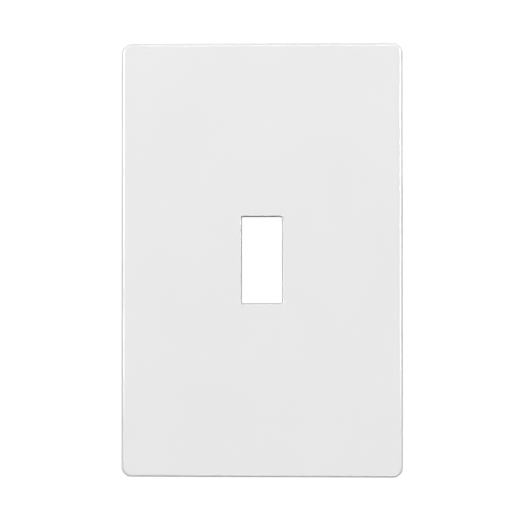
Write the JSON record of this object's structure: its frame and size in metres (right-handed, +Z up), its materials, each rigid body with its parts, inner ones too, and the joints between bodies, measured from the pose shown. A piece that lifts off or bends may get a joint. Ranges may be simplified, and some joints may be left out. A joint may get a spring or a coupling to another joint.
{
  "type": "wall plate cover",
  "caption": "Clip-on one-gang wall plate for a toggle switch: a plain drafted cover with a toggle slot, clicked onto a screw-fixed mounting plate.",
  "frame": {"origin": "middle of the plate on the wall plane, which is also the middle of the toggle slot", "axes": "+X to the right seen from the room, +Z up, +Y into the wall; the visible face looks along -Y"},
  "size_m": [0.0772, 0.0172, 0.119],
  "materials": {
    "cover_plastic": "semi-gloss moulded white plastic",
    "backing_plastic": "matt moulded white plastic",
    "plated_steel": "bright zinc plating"
  },
  "bodies": {
    "mounting_plate": {"mounting_plate": "backing_plastic"},
    "face_cover": {"face_cover": "cover_plastic"},
    "upper_screw": {"upper_screw": "plated_steel"},
    "lower_screw": {"lower_screw": "plated_steel"}
  },
  "joints": [
    {"name": "cover_pull", "type": "slide", "parent": "mounting_plate", "child": "face_cover", "axis": [0, -1, 0], "range_m": [0, 0.03]},
    {"name": "upper_screw_turn", "type": "hinge", "parent": "mounting_plate", "child": "upper_screw", "pos_m": [0, 0, 0.03016], "axis": [0, 1, 0], "continuous": true},
    {"name": "lower_screw_turn", "type": "hinge", "parent": "mounting_plate", "child": "lower_screw", "pos_m": [0, 0, -0.03016], "axis": [0, 1, 0], "continuous": true}
  ]
}
